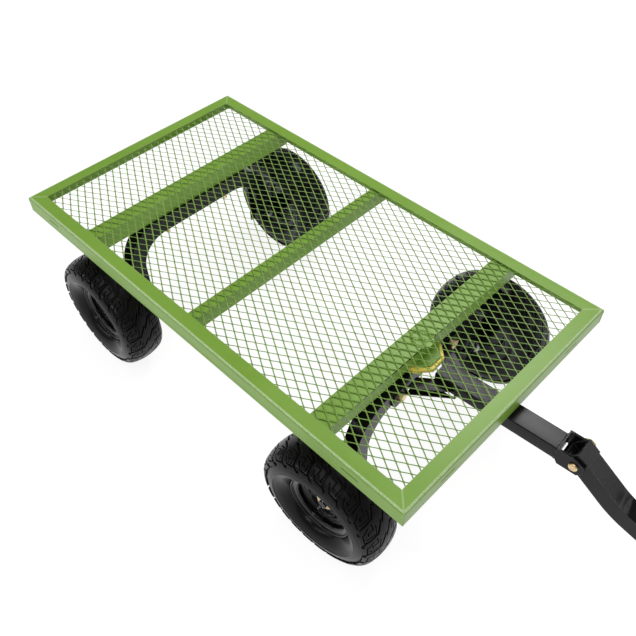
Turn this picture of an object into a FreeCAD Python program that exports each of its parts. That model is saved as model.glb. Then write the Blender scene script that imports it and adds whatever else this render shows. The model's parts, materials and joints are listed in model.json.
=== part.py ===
import FreeCAD, Part
import math
import os

# A flat-bed garden cart: a mesh deck in an angle-steel frame, carried by two arched
# axles on four pneumatic wheels.  The front axle turns on a kingpin under the deck and
# is pulled through a drawbar and a bent handle, whose grip rests on the floor.
#
# Row frame: +X forwards, towards the handle; +Y to the left; +Z up.  The origin is on
# the floor, midway between the rear rail and the end of the grip.  Sizes in mm.

# --- deck -------------------------------------------------------------------------
DECK_CENTRE_X = -419.3       # deck centre, measured from the origin
DECK_LENGTH = 1020.0
DECK_WIDTH = 545.0
DECK_TOP = 324.0             # top of the rails above the floor
RAIL_HEIGHT = 36.0
RAIL_FLANGE = 28.0
RAIL_WALL = 2.5
RAIL_BEND = 5.0              # outside radius of the rail's fold
SLOT_LENGTH = 35.0           # slots that take the hooks of side panels
SLOT_HEIGHT = 3.0
SLOT_DROP = 18.0             # slot's centre line below the deck's top
SIDE_SLOT_X = (-420.0, 405.0) # slots on the long rails, from the deck's centre
END_SLOT_Y = (-170.0, 170.0) # slots on the short rails, from the deck's centre

MESH_INSET = 12.0            # mesh edge inside the frame's outer faces
MESH_THICKNESS = 3.0
DIAMOND_LONG = 61.2          # spacing of the diamonds along X, twice the real sheet's
DIAMOND_SHORT = 35.6         # spacing of the diamonds along Y, twice the real sheet's
DIAMOND_OPEN = 0.85          # opening's share of each spacing

MEMBER_WALL = 2.5
MEMBER_END_GAP = 0.3         # between a cross member's end and the rail's wall
REAR_MEMBER = (-335.0, -302.0, 36.5)      # rear face, front face, depth
MIDDLE_MEMBER = (-17.0, 5.0, 30.5)
FRONT_MEMBER = (291.0, 333.0, 30.5)

# --- axles and steering --------------------------------------------------------------
KINGPIN_X = 320.0            # from the deck's centre
STEER_ANGLE = 3.7            # rest angle of the front axle, turned to the left
REAR_AXLE_X = -310.0         # from the deck's centre
SPINDLE_FORWARD = 6.9        # spindles lie this far ahead of the axle's middle
WHEEL_RADIUS = 128.0
TRACK = 511.0                # between the wheels' middle planes

AXLE_DEPTH = 30.0            # front to back
AXLE_WALL = 3.0
AXLE_HEIGHT = 34.0           # of the straight beam
BEAM_HALF = 95.0             # straight beam ends here, and the leg's inner arc starts
OUTER_ARC = 80.0
INNER_ARC = 64.0
OUTER_ARC_Y = 110.0          # centre of the outer arc
LEG_OUTER_Y = OUTER_ARC_Y + OUTER_ARC
LEG_INNER_Y = BEAM_HALF + INNER_ARC
LEG_BELOW_SPINDLE = 22.0

PLATE_RADIUS = 37.5          # eight-sided turntable plate, over its corners
PLATE_THICKNESS = 4.0
RING_RADIUS = 44.0           # eight-sided wear ring under the plate, over its corners
RING_THICKNESS = 9.7
RING_CHAMFER = 1.6
TURN_GAP = 0.3               # between parts that turn on each other
KINGPIN_RADIUS = 7.0
KINGPIN_HEAD = 19.0          # across its flats; the nut is the same
RUNNING_FIT = 0.08           # radial clearance of a pin in its hole

AXLE_BOLT_RADIUS = 5.0
AXLE_HEAD_RADIUS = 7.5
AXLE_BOLT_Y = 80.0
AXLE_BOLT_END = 94.0         # bolt's lower end below the deck's top

# --- drawbar, in the steering frame: x from the kingpin along the tongue ---------------
TONGUE_WIDTH = 38.0
TONGUE_HEIGHT = 28.0
TONGUE_WALL = 2.5
TONGUE_TOP = DECK_TOP - 43.5
TONGUE_START = 46.0
TONGUE_END = 277.5
ARM_TOP = DECK_TOP - 60.0
ARM_HEIGHT = 20.0
ARM_WIDTH = 25.0
ARM_WALL = 2.5
ARM_ANGLE = 34.0
ARM_TIP_X = 90.0             # where the arm's outer face meets the tongue's side
FOOT_THICKNESS = 5.0
FOOT_HALF = 19.0
FOOT_CLIP = 8.0
DRAWBAR_BOLT_Y = 79.0
DRAWBAR_BOLT_Z = DECK_TOP - 73.0
DRAWBAR_BOLT_RADIUS = 5.0

EAR_THICKNESS = 4.0
CLEVIS_BACK = 3.0            # back plate of the fork
CLEVIS_LIP = (12.5, 3.5)     # length and thickness of the ledge between the ears
EAR_TOP = DECK_TOP - 37.0
EAR_BOTTOM = DECK_TOP - 73.0
EAR_END = 326.0
PIVOT_X = 310.0
PIVOT_Z = DECK_TOP - 55.0
PIVOT_RADIUS = 6.0
HANDLE_HEAD_RADIUS = 8.0

# --- handle ------------------------------------------------------------------------------
HANDLE_SIZE = 34.0           # square tube
HANDLE_WALL = 2.0
HANDLE_SLOPE = 36.5          # first run, below the horizontal
GRIP_SLOPE = 17.56           # second run, below the horizontal
HANDLE_RISE = 4.5            # tube's centre line above the pivot
HANDLE_BACK = 17.0           # tube's end behind the pivot
FIRST_RUN = 104.0            # pivot to the corner of the bend
BEND = 150.0                 # radius of the bend's centre line
BRACKET_WALL = 1.7
BRACKET_AHEAD = 9.0
GRIP_THICKNESS = 26.0
GRIP_LENGTH = 120.0          # loop's length beyond the end of the tube
GRIP_WIDTH = 132.0
GRIP_NECK = 29.4             # plug that enters the tube, square
GRIP_PLUG = 60.0
GRIP_BAR = 30.0              # cross bar that the hand holds
GRIP_SIDE = 20.0             # width of the loop's sides
GRIP_BOLT_RADIUS = 3.0

# --- wheels, w measured from the wheel's middle plane outwards --------------------------
TYRE_HALF = 46.0
SPINDLE_RADIUS = 8.0
SPINDLE_END = 273.2          # spindle's tip from the cart's centre line
HUB_INNER = 196.0            # hub's inner and outer ends from the cart's centre line
HUB_OUTER = 266.0
HUB_RADIUS = 20.0
HUB_BORE = 17.5
BEARING_WIDTH = 11.0
WASHER_RADIUS = 14.5
WASHER_THICKNESS = 2.5
PIN_RADIUS = 1.6
RIM_WALL = 2.5
LIP_RADIUS = 65.0
LIP_W = 27.0
SEAT_RADIUS = 53.0
SEAT_W = 24.0
BEAD_GAP = 0.2               # between the tyre's beads and the rim
WELL_RADIUS = 44.0
WELL_W = 11.0
TUBE_RING = 89.0             # centre circle of the inner tube
TUBE_RADIUS = 29.0
TUBE_WALL = 2.0
VALVE_RADIUS = 3.5
VALVE_W = 6.0
VALVE_TIP = 31.0

SPINDLE_Z = WHEEL_RADIUS
REAR_BEAM_TOP = DECK_TOP - RAIL_WALL - MESH_THICKNESS - REAR_MEMBER[2]
MEMBER_TOP = DECK_TOP - RAIL_WALL - MESH_THICKNESS
PLATE_TOP = MEMBER_TOP - FRONT_MEMBER[2]
RING_TOP = PLATE_TOP - PLATE_THICKNESS - TURN_GAP
FRONT_BEAM_TOP = RING_TOP - RING_THICKNESS
Z_AXIS = FreeCAD.Vector(0, 0, 1)


def vec(x, y, z):
    return FreeCAD.Vector(x, y, z)


def box(x0, x1, y0, y1, z0, z1):
    return Part.makeBox(x1 - x0, y1 - y0, z1 - z0, vec(x0, y0, z0))


def rod(start, end, radius):
    """Round bar between two points."""
    path = end - start
    return Part.makeCylinder(radius, path.Length, start, path)


def prism(points, path):
    """Straight extrusion of a closed polygon."""
    wire = Part.makePolygon(points + [points[0]])
    return Part.Face(wire).extrude(path)


def hex_bar(centre, axis, across_flats, length):
    """Hexagonal bar that starts at centre and runs along axis."""
    corner = across_flats / math.sqrt(3)
    side = vec(0, 1, 0) if abs(axis.z) > 0.5 else Z_AXIS
    other = axis.cross(side).normalize()
    points = []
    for step in range(6):
        turn = math.radians(60 * step)
        points.append(centre + side * (corner * math.cos(turn)) + other * (corner * math.sin(turn)))
    return prism(points, axis.normalize() * length)


def mirrored(shape):
    """The same piece on the other side of the cart's centre plane."""
    return shape.mirror(vec(0, 0, 0), vec(0, 1, 0))


def save(name, shape, turned=False):
    """Place a piece in the row frame and write its file."""
    placed = shape.copy()
    if turned:
        placed.rotate(vec(0, 0, 0), Z_AXIS, STEER_ANGLE)
        placed.translate(vec(KINGPIN_X, 0, 0))
    placed.translate(vec(DECK_CENTRE_X, 0, 0))
    placed.exportStep("parts/" + name + ".step")


# --- deck ----------------------------------------------------------------------------------
def angle_rail(length):
    """Straight angle section along X: wall on the -Y side, flange inwards at the top."""
    bottom = DECK_TOP - RAIL_HEIGHT
    inner_bend = RAIL_BEND - RAIL_WALL
    slant = math.sqrt(0.5)
    x = -length / 2
    outer_mid = vec(x, RAIL_BEND * (1 - slant), DECK_TOP - RAIL_BEND * (1 - slant))
    centre = vec(x, RAIL_BEND, DECK_TOP - RAIL_BEND)
    inner_mid = centre + vec(0, -slant, slant) * inner_bend
    corners = [
        vec(x, 0, bottom),
        vec(x, 0, DECK_TOP - RAIL_BEND),
        vec(x, RAIL_BEND, DECK_TOP),
        vec(x, RAIL_FLANGE, DECK_TOP),
        vec(x, RAIL_FLANGE, DECK_TOP - RAIL_WALL),
        vec(x, RAIL_BEND, DECK_TOP - RAIL_WALL),
        vec(x, RAIL_WALL, DECK_TOP - RAIL_BEND),
        vec(x, RAIL_WALL, bottom),
    ]
    edges = [
        Part.LineSegment(corners[0], corners[1]).toShape(),
        Part.Arc(corners[1], outer_mid, corners[2]).toShape(),
        Part.LineSegment(corners[2], corners[3]).toShape(),
        Part.LineSegment(corners[3], corners[4]).toShape(),
        Part.LineSegment(corners[4], corners[5]).toShape(),
        Part.Arc(corners[5], inner_mid, corners[6]).toShape(),
        Part.LineSegment(corners[6], corners[7]).toShape(),
        Part.LineSegment(corners[7], corners[0]).toShape(),
    ]
    return Part.Face(Part.Wire(edges)).extrude(vec(length, 0, 0))


def mitred_rail(length, width, slot_at):
    """Rail on the -Y side of a frame of the given size, mitred, with two slots."""
    rail = angle_rail(length)
    rail.translate(vec(0, -width / 2, 0))
    reach = 2 * RAIL_FLANGE
    half = length / 2
    outline = [
        vec(-half, -width / 2, 0),
        vec(half, -width / 2, 0),
        vec(half - reach, reach - width / 2, 0),
        vec(reach - half, reach - width / 2, 0),
    ]
    rail = rail.common(prism(outline, vec(0, 0, DECK_TOP + RAIL_HEIGHT)))
    slot_z = DECK_TOP - SLOT_DROP
    for centre in slot_at:
        slot = box(centre - SLOT_LENGTH / 2, centre + SLOT_LENGTH / 2,
                   -width / 2 - RAIL_WALL, -width / 2 + 2 * RAIL_WALL,
                   slot_z - SLOT_HEIGHT / 2, slot_z + SLOT_HEIGHT / 2)
        rail = rail.cut(slot)
    return rail


def deck_mesh():
    """Sheet of diamond openings under the rails' flanges."""
    half_x = DECK_LENGTH / 2 - MESH_INSET
    half_y = DECK_WIDTH / 2 - MESH_INSET
    bottom = DECK_TOP - RAIL_WALL - MESH_THICKNESS
    sheet = [vec(-half_x, -half_y, bottom), vec(half_x, -half_y, bottom),
             vec(half_x, half_y, bottom), vec(-half_x, half_y, bottom)]
    wires = [Part.makePolygon(sheet + [sheet[0]])]
    open_x = DIAMOND_LONG / 2 * DIAMOND_OPEN
    open_y = DIAMOND_SHORT / 2 * DIAMOND_OPEN
    columns = int(2 * half_x / DIAMOND_LONG) + 1
    rows = int(2 * half_y / DIAMOND_SHORT) + 1
    for column in range(-columns, columns + 1):
        for row in range(-rows, rows + 1):
            if (column + row) % 2:
                continue
            x = column * DIAMOND_LONG / 2
            y = row * DIAMOND_SHORT / 2
            if abs(x) + open_x > half_x - MESH_THICKNESS:
                continue
            if abs(y) + open_y > half_y - MESH_THICKNESS:
                continue
            diamond = [vec(x - open_x, y, bottom), vec(x, y + open_y, bottom),
                       vec(x + open_x, y, bottom), vec(x, y - open_y, bottom)]
            wires.append(Part.makePolygon(diamond + [diamond[0]]))
    return Part.Face(wires, "Part::FaceMakerCheese").extrude(vec(0, 0, MESH_THICKNESS))


def cross_member(rear, front, depth):
    """Channel across the deck, open downwards."""
    half = DECK_WIDTH / 2 - RAIL_WALL - MEMBER_END_GAP
    outer = box(rear, front, -half, half, MEMBER_TOP - depth, MEMBER_TOP)
    inner = box(rear + MEMBER_WALL, front - MEMBER_WALL, -half - 1, half + 1,
                MEMBER_TOP - depth - 1, MEMBER_TOP - MEMBER_WALL)
    return outer.cut(inner)


def drilled(shape, points, axis, radius, depth):
    """Shape with round holes that start at the points and run along axis."""
    for point in points:
        shape = shape.cut(Part.makeCylinder(radius, depth, point, axis))
    return shape


def deck_pieces():
    side = mitred_rail(DECK_LENGTH, DECK_WIDTH, SIDE_SLOT_X)
    end = mitred_rail(DECK_WIDTH, DECK_LENGTH, END_SLOT_Y)
    save("deck_rail_right", side)
    save("deck_rail_left", mirrored(side))
    for name, turn in (("deck_rail_front", 90), ("deck_rail_rear", -90)):
        rail = end.copy()
        rail.rotate(vec(0, 0, 0), Z_AXIS, turn)
        save(name, rail)
    save("deck_mesh", deck_mesh())

    heads = both_sides(bolt_head())
    heads.translate(vec(REAR_AXLE_X, 0, 0))
    save("cross_member_rear", cross_member(*REAR_MEMBER).cut(heads))
    save("cross_member_middle", cross_member(*MIDDLE_MEMBER))
    save("cross_member_front", cross_member(*FRONT_MEMBER))


# --- turntable ------------------------------------------------------------------------------
def eight_sided(centre, radius, thickness):
    """Flat eight-sided plate, its corners at the radius and flats fore, aft and abeam."""
    points = []
    for step in range(8):
        turn = math.radians(45 * step + 22.5)
        points.append(centre + vec(radius * math.cos(turn), radius * math.sin(turn), 0))
    return prism(points, vec(0, 0, thickness))


def turntable_plate():
    bottom = vec(KINGPIN_X, 0, PLATE_TOP - PLATE_THICKNESS)
    plate = eight_sided(bottom, PLATE_RADIUS, PLATE_THICKNESS)
    return plate.cut(Part.makeCylinder(KINGPIN_RADIUS, PLATE_THICKNESS, bottom))


def kingpin_bolt():
    """Head on the turntable plate, shank down through the ring and the front axle."""
    head = hex_bar(vec(KINGPIN_X, 0, PLATE_TOP), Z_AXIS, KINGPIN_HEAD, 9.0)
    shank_end = FRONT_BEAM_TOP - AXLE_WALL - 24.0
    shank = rod(vec(KINGPIN_X, 0, shank_end), vec(KINGPIN_X, 0, PLATE_TOP), KINGPIN_RADIUS)
    return head.fuse(shank)


def kingpin_nut():
    """Washer and lock nut under the front axle's web, two solids."""
    web_bottom = FRONT_BEAM_TOP - AXLE_WALL
    washer_low = web_bottom - TURN_GAP - WASHER_THICKNESS
    washer = Part.makeCylinder(11.5, WASHER_THICKNESS, vec(KINGPIN_X, 0, washer_low))
    nut = hex_bar(vec(KINGPIN_X, 0, washer_low - 13.0), Z_AXIS, KINGPIN_HEAD, 13.0)
    bore = rod(vec(KINGPIN_X, 0, 0), vec(KINGPIN_X, 0, DECK_TOP), KINGPIN_RADIUS)
    return Part.makeCompound([washer.cut(bore), nut.cut(bore)])


def wear_ring():
    """Plastic ring that carries the deck on the front axle, in the steering frame."""
    bottom = vec(0, 0, FRONT_BEAM_TOP)
    ring = eight_sided(bottom, RING_RADIUS, RING_THICKNESS)
    rims = [e for e in ring.Edges if e.BoundBox.ZLength < 0.1]
    ring = ring.makeChamfer(RING_CHAMFER, rims)
    return ring.cut(Part.makeCylinder(KINGPIN_RADIUS + RUNNING_FIT, RING_THICKNESS, bottom))


# --- axles, x measured from the axle's middle -------------------------------------------------
def axle_beam(top):
    """Straight middle of the axle: a channel open downwards."""
    half = AXLE_DEPTH / 2
    outer = box(-half, half, -BEAM_HALF, BEAM_HALF, top - AXLE_HEIGHT, top)
    inner = box(AXLE_WALL - half, half - AXLE_WALL, -BEAM_HALF, BEAM_HALF,
                top - AXLE_HEIGHT, top - AXLE_WALL)
    return outer.cut(inner)


def leg_outline(x, top, outer_arc, outer_y):
    """Closed outline of the left leg's side in the plane at x."""
    slant = math.sqrt(0.5)
    low = SPINDLE_Z - LEG_BELOW_SPINDLE
    outer_low = top - (LEG_OUTER_Y - OUTER_ARC_Y)
    edge_top = outer_low + outer_arc
    inner_low = top - AXLE_HEIGHT - INNER_ARC
    outer_mid = vec(x, OUTER_ARC_Y + outer_arc * slant, outer_low + outer_arc * slant)
    inner_mid = vec(x, BEAM_HALF + INNER_ARC * slant, inner_low + INNER_ARC * slant)
    start = vec(x, BEAM_HALF, edge_top)
    arc_start = vec(x, OUTER_ARC_Y, edge_top)
    arc_end = vec(x, outer_y, outer_low)
    outer_foot = vec(x, outer_y, low)
    inner_foot = vec(x, LEG_INNER_Y, low)
    inner_arc_start = vec(x, LEG_INNER_Y, inner_low)
    inner_arc_end = vec(x, BEAM_HALF, top - AXLE_HEIGHT)
    edges = [
        Part.LineSegment(start, arc_start).toShape(),
        Part.Arc(arc_start, outer_mid, arc_end).toShape(),
        Part.LineSegment(arc_end, outer_foot).toShape(),
        Part.LineSegment(outer_foot, inner_foot).toShape(),
        Part.LineSegment(inner_foot, inner_arc_start).toShape(),
        Part.Arc(inner_arc_start, inner_mid, inner_arc_end).toShape(),
        Part.LineSegment(inner_arc_end, start).toShape(),
    ]
    return Part.Face(Part.Wire(edges))


def axle_leg(top):
    """Left leg: the channel bends down to the spindle, its web on the outside."""
    half = AXLE_DEPTH / 2
    solid = leg_outline(-half, top, OUTER_ARC, LEG_OUTER_Y).extrude(vec(AXLE_DEPTH, 0, 0))
    hollow_face = leg_outline(AXLE_WALL - half, top, OUTER_ARC - AXLE_WALL, LEG_OUTER_Y - AXLE_WALL)
    hollow = hollow_face.extrude(vec(AXLE_DEPTH - 2 * AXLE_WALL, 0, 0))
    leg = solid.cut(hollow)
    spindle_hole = rod(vec(SPINDLE_FORWARD, LEG_INNER_Y, SPINDLE_Z),
                       vec(SPINDLE_FORWARD, LEG_OUTER_Y + 1, SPINDLE_Z), SPINDLE_RADIUS)
    return leg.cut(spindle_hole)


def spindle():
    """Left spindle with a thrust collar against the leg and a cross hole for its pin."""
    start = vec(SPINDLE_FORWARD, LEG_INNER_Y + 2, SPINDLE_Z)
    bar = rod(start, vec(SPINDLE_FORWARD, SPINDLE_END, SPINDLE_Z), SPINDLE_RADIUS)
    collar = rod(vec(SPINDLE_FORWARD, LEG_OUTER_Y, SPINDLE_Z),
                 vec(SPINDLE_FORWARD, HUB_INNER - TURN_GAP, SPINDLE_Z), SPINDLE_RADIUS + 4)
    whole = bar.fuse(collar)
    hole = rod(vec(SPINDLE_FORWARD, cotter_y(), SPINDLE_Z - WASHER_RADIUS),
               vec(SPINDLE_FORWARD, cotter_y(), SPINDLE_Z + WASHER_RADIUS), PIN_RADIUS)
    return whole.cut(hole)


def cotter_y():
    return HUB_OUTER + WASHER_THICKNESS + 1.2 * PIN_RADIUS


def wheel_washer():
    low = HUB_OUTER + TURN_GAP
    washer = rod(vec(SPINDLE_FORWARD, low, SPINDLE_Z),
                 vec(SPINDLE_FORWARD, low + WASHER_THICKNESS, SPINDLE_Z), WASHER_RADIUS)
    bore = rod(vec(SPINDLE_FORWARD, 0, SPINDLE_Z),
               vec(SPINDLE_FORWARD, SPINDLE_END, SPINDLE_Z), SPINDLE_RADIUS)
    return washer.cut(bore)


def cotter_pin():
    """Split pin through the spindle: a straight pin with an eye above it."""
    y = cotter_y()
    reach = SPINDLE_RADIUS + 5.0
    pin = rod(vec(SPINDLE_FORWARD, y, SPINDLE_Z - reach),
              vec(SPINDLE_FORWARD, y, SPINDLE_Z + reach), PIN_RADIUS)
    eye_centre = vec(SPINDLE_FORWARD, y, SPINDLE_Z + reach + 2 * PIN_RADIUS)
    eye = Part.makeTorus(2 * PIN_RADIUS, PIN_RADIUS, eye_centre, vec(0, 1, 0))
    return pin.fuse(eye)


def both_sides(shape):
    return Part.makeCompound([shape, mirrored(shape)])


def bolt_head():
    """Countersunk head of the left axle bolt, flush with the rear cross member's top."""
    low = vec(0, AXLE_BOLT_Y, MEMBER_TOP - MEMBER_WALL)
    return Part.makeCone(AXLE_BOLT_RADIUS, AXLE_HEAD_RADIUS, MEMBER_WALL, low)


def rear_axle_pieces():
    spots = [vec(0, side_y, 0) for side_y in (-AXLE_BOLT_Y, AXLE_BOLT_Y)]
    beam = drilled(axle_beam(REAR_BEAM_TOP), spots, Z_AXIS, AXLE_BOLT_RADIUS, DECK_TOP)
    leg = axle_leg(REAR_BEAM_TOP)
    bolt_end = DECK_TOP - AXLE_BOLT_END
    shank = rod(vec(0, AXLE_BOLT_Y, bolt_end), vec(0, AXLE_BOLT_Y, MEMBER_TOP), AXLE_BOLT_RADIUS)
    bolt = shank.fuse(bolt_head())
    nut_top = REAR_BEAM_TOP - AXLE_WALL
    nut = hex_bar(vec(0, AXLE_BOLT_Y, nut_top - 9.0), Z_AXIS, 17.0, 9.0).cut(shank)
    pieces = {
        "rear_axle_beam": beam,
        "rear_axle_leg_left": leg,
        "rear_axle_leg_right": mirrored(leg),
        "rear_axle_bolts": both_sides(bolt),
        "rear_axle_nuts": both_sides(nut),
        "rear_spindles": both_sides(spindle()),
        "rear_wheel_washers": both_sides(wheel_washer()),
        "rear_cotter_pins": both_sides(cotter_pin()),
    }
    for name, piece in pieces.items():
        piece.translate(vec(REAR_AXLE_X, 0, 0))
        save(name, piece)


# --- drawbar ------------------------------------------------------------------------------------
def drawbar_arm():
    """Right arm: a channel open outwards, from a bolted foot to the tongue's side."""
    along = vec(math.cos(math.radians(ARM_ANGLE)), math.sin(math.radians(ARM_ANGLE)), 0)
    inwards = vec(-along.y, along.x, 0)
    tip = vec(ARM_TIP_X, -TONGUE_WIDTH / 2, ARM_TOP - ARM_HEIGHT)
    reach = 2 * ARM_TIP_X
    outer = prism([tip, tip - along * reach, tip - along * reach + inwards * ARM_WIDTH,
                   tip + inwards * ARM_WIDTH], vec(0, 0, ARM_HEIGHT))
    start = tip + vec(0, 0, ARM_WALL) - inwards
    hollow_width = ARM_WIDTH - ARM_WALL + 1
    hollow = prism([start, start - along * reach, start - along * reach + inwards * hollow_width,
                    start + inwards * hollow_width], vec(0, 0, ARM_HEIGHT - 2 * ARM_WALL))
    face = AXLE_DEPTH / 2
    keep = box(face + FOOT_THICKNESS, reach, -reach, -TONGUE_WIDTH / 2, 0, DECK_TOP)
    arm = outer.cut(hollow).common(keep)
    return arm.fuse(drawbar_foot())


def drawbar_foot():
    """Eight-sided plate against the axle's front face."""
    face = AXLE_DEPTH / 2
    long_side = FOOT_HALF - FOOT_CLIP
    corners = [(-FOOT_HALF, -long_side), (-long_side, -FOOT_HALF), (long_side, -FOOT_HALF),
               (FOOT_HALF, -long_side), (FOOT_HALF, long_side), (long_side, FOOT_HALF),
               (-long_side, FOOT_HALF), (-FOOT_HALF, long_side)]
    points = [vec(face, y - DRAWBAR_BOLT_Y, DRAWBAR_BOLT_Z + z) for y, z in corners]
    foot = prism(points, vec(FOOT_THICKNESS, 0, 0))
    hole = rod(vec(0, -DRAWBAR_BOLT_Y, DRAWBAR_BOLT_Z),
               vec(ARM_TIP_X, -DRAWBAR_BOLT_Y, DRAWBAR_BOLT_Z), DRAWBAR_BOLT_RADIUS)
    return foot.cut(hole)


def drawbar_bolt():
    """Right drawbar bolt: head on the foot, shank into the axle's hollow."""
    face = AXLE_DEPTH / 2 + FOOT_THICKNESS
    forwards = vec(1, 0, 0)
    head = hex_bar(vec(face, -DRAWBAR_BOLT_Y, DRAWBAR_BOLT_Z), forwards, 17.0, 6.5)
    shank = rod(vec(-4, -DRAWBAR_BOLT_Y, DRAWBAR_BOLT_Z),
                vec(face, -DRAWBAR_BOLT_Y, DRAWBAR_BOLT_Z), DRAWBAR_BOLT_RADIUS)
    return head.fuse(shank)


def drawbar_nut():
    wall = AXLE_DEPTH / 2 - AXLE_WALL
    nut = hex_bar(vec(wall - 8.5, -DRAWBAR_BOLT_Y, DRAWBAR_BOLT_Z), vec(1, 0, 0), 17.0, 8.5)
    return nut.cut(drawbar_bolt())


def drawbar_tongue():
    half = TONGUE_WIDTH / 2
    low = TONGUE_TOP - TONGUE_HEIGHT
    outer = box(TONGUE_START, TONGUE_END, -half, half, low, TONGUE_TOP)
    inner = box(TONGUE_START - 1, TONGUE_END + 1, TONGUE_WALL - half, half - TONGUE_WALL,
                low + TONGUE_WALL, TONGUE_TOP - TONGUE_WALL)
    long_edges = [e for e in outer.Edges if e.BoundBox.XLength > TONGUE_END - TONGUE_START - 1]
    return outer.makeFillet(2.0, long_edges).cut(inner)


def tongue_clevis():
    """Folded fork on the tongue's end: a back plate, two ears and a ledge between them."""
    half = TONGUE_WIDTH / 2 + EAR_THICKNESS
    rear = TONGUE_END
    side = [
        vec(rear, -half, EAR_TOP),
        vec(EAR_END - 18, -half, EAR_TOP),
        vec(EAR_END, -half, EAR_TOP - 8),
        vec(EAR_END, -half, EAR_BOTTOM + 8),
        vec(EAR_END - 8, -half, EAR_BOTTOM),
        vec(rear + 7, -half, EAR_BOTTOM),
        vec(rear, -half, EAR_BOTTOM + 11),
    ]
    block = prism(side, vec(0, 2 * half, 0))
    length, thickness = CLEVIS_LIP
    gap = box(rear + CLEVIS_BACK, EAR_END + 1, -TONGUE_WIDTH / 2, TONGUE_WIDTH / 2,
              EAR_BOTTOM + thickness, EAR_TOP + 1)
    under = box(rear + length, EAR_END + 1, -TONGUE_WIDTH / 2, TONGUE_WIDTH / 2,
                EAR_BOTTOM - 1, EAR_BOTTOM + thickness)
    fork = block.cut(gap).cut(under)
    bore = rod(vec(PIVOT_X, -half - 1, PIVOT_Z), vec(PIVOT_X, half + 1, PIVOT_Z), PIVOT_RADIUS)
    return fork.cut(bore)


def handle_bolt():
    """Flanged round-head bolt, its head on the right ear."""
    face = TONGUE_WIDTH / 2 + EAR_THICKNESS
    shank = rod(vec(PIVOT_X, -face, PIVOT_Z), vec(PIVOT_X, face + 13, PIVOT_Z), PIVOT_RADIUS)
    head = rod(vec(PIVOT_X, -face - 4, PIVOT_Z), vec(PIVOT_X, -face, PIVOT_Z), HANDLE_HEAD_RADIUS)
    rim = [e for e in head.Edges if e.BoundBox.YMax < -face - 3]
    return head.makeFillet(2.5, rim).fuse(shank)


def handle_nut():
    face = TONGUE_WIDTH / 2 + EAR_THICKNESS
    nut = hex_bar(vec(PIVOT_X, face, PIVOT_Z), vec(0, 1, 0), 19.0, 10.0)
    return nut.cut(handle_bolt())


def front_axle_pieces():
    top = FRONT_BEAM_TOP
    beam = axle_beam(top)
    pin_hole = [vec(0, 0, top - AXLE_HEIGHT)]
    beam = drilled(beam, pin_hole, Z_AXIS, KINGPIN_RADIUS + RUNNING_FIT, AXLE_HEIGHT)
    bolt_spots = [vec(0, side_y, DRAWBAR_BOLT_Z) for side_y in (-DRAWBAR_BOLT_Y, DRAWBAR_BOLT_Y)]
    beam = drilled(beam, bolt_spots, vec(1, 0, 0), DRAWBAR_BOLT_RADIUS, AXLE_DEPTH)
    leg = axle_leg(top)
    pieces = {
        "wear_ring": wear_ring(),
        "front_axle_beam": beam,
        "front_axle_leg_left": leg,
        "front_axle_leg_right": mirrored(leg),
        "front_spindles": both_sides(spindle()),
        "front_wheel_washers": both_sides(wheel_washer()),
        "front_cotter_pins": both_sides(cotter_pin()),
        "drawbar_arm_right": drawbar_arm(),
        "drawbar_arm_left": mirrored(drawbar_arm()),
        "drawbar_bolts": both_sides(drawbar_bolt()),
        "drawbar_nuts": both_sides(drawbar_nut()),
        "drawbar_tongue": drawbar_tongue(),
        "tongue_clevis": tongue_clevis(),
        "handle_bolt": handle_bolt(),
        "handle_nut": handle_nut(),
    }
    for name, piece in pieces.items():
        save(name, piece, turned=True)


# --- handle, in the steering frame ------------------------------------------------------------
def direction(slope):
    """Unit vector forwards and down, and its upward normal."""
    turn = math.radians(slope)
    return vec(math.cos(turn), 0, -math.sin(turn)), vec(math.sin(turn), 0, math.cos(turn))


FIRST_ALONG, FIRST_UP = direction(HANDLE_SLOPE)
GRIP_ALONG, GRIP_UP = direction(GRIP_SLOPE)
PIVOT = vec(PIVOT_X, 0, PIVOT_Z)
BEND_CORNER = PIVOT + FIRST_ALONG * FIRST_RUN + FIRST_UP * HANDLE_RISE
# the loop's far lower edge lies on the floor
SECOND_RUN = (BEND_CORNER.z - GRIP_THICKNESS / 2 * GRIP_UP.z) / -GRIP_ALONG.z
TUBE_END = BEND_CORNER + GRIP_ALONG * (SECOND_RUN - GRIP_LENGTH)


def bent_bar(half, back, ahead):
    """Bar of square section that follows the handle's bend; half is half its side."""
    tangent = BEND * math.tan(math.radians(HANDLE_SLOPE - GRIP_SLOPE) / 2)
    start = PIVOT + FIRST_UP * HANDLE_RISE - FIRST_ALONG * back
    bend_start = BEND_CORNER - FIRST_ALONG * tangent
    bend_end = BEND_CORNER + GRIP_ALONG * tangent
    centre = bend_start + FIRST_UP * BEND
    middle = (FIRST_UP + GRIP_UP).normalize()
    end = TUBE_END + GRIP_ALONG * ahead

    def side(offset):
        first = start + FIRST_UP * offset
        arc_from = bend_start + FIRST_UP * offset
        arc_mid = centre - middle * (BEND - offset)
        arc_to = bend_end + GRIP_UP * offset
        last = end + GRIP_UP * offset
        edges = [Part.LineSegment(first, arc_from).toShape(),
                 Part.Arc(arc_from, arc_mid, arc_to).toShape(),
                 Part.LineSegment(arc_to, last).toShape()]
        return first, last, edges

    top_first, top_last, top_edges = side(half)
    low_first, low_last, low_edges = side(-half)
    caps = [Part.LineSegment(top_first, low_first).toShape(),
            Part.LineSegment(top_last, low_last).toShape()]
    wire = Part.Wire(Part.__sortEdges__(top_edges + low_edges + caps))
    face = Part.Face(wire)
    face.translate(vec(0, -half, 0))
    return face.extrude(vec(0, 2 * half, 0))


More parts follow.
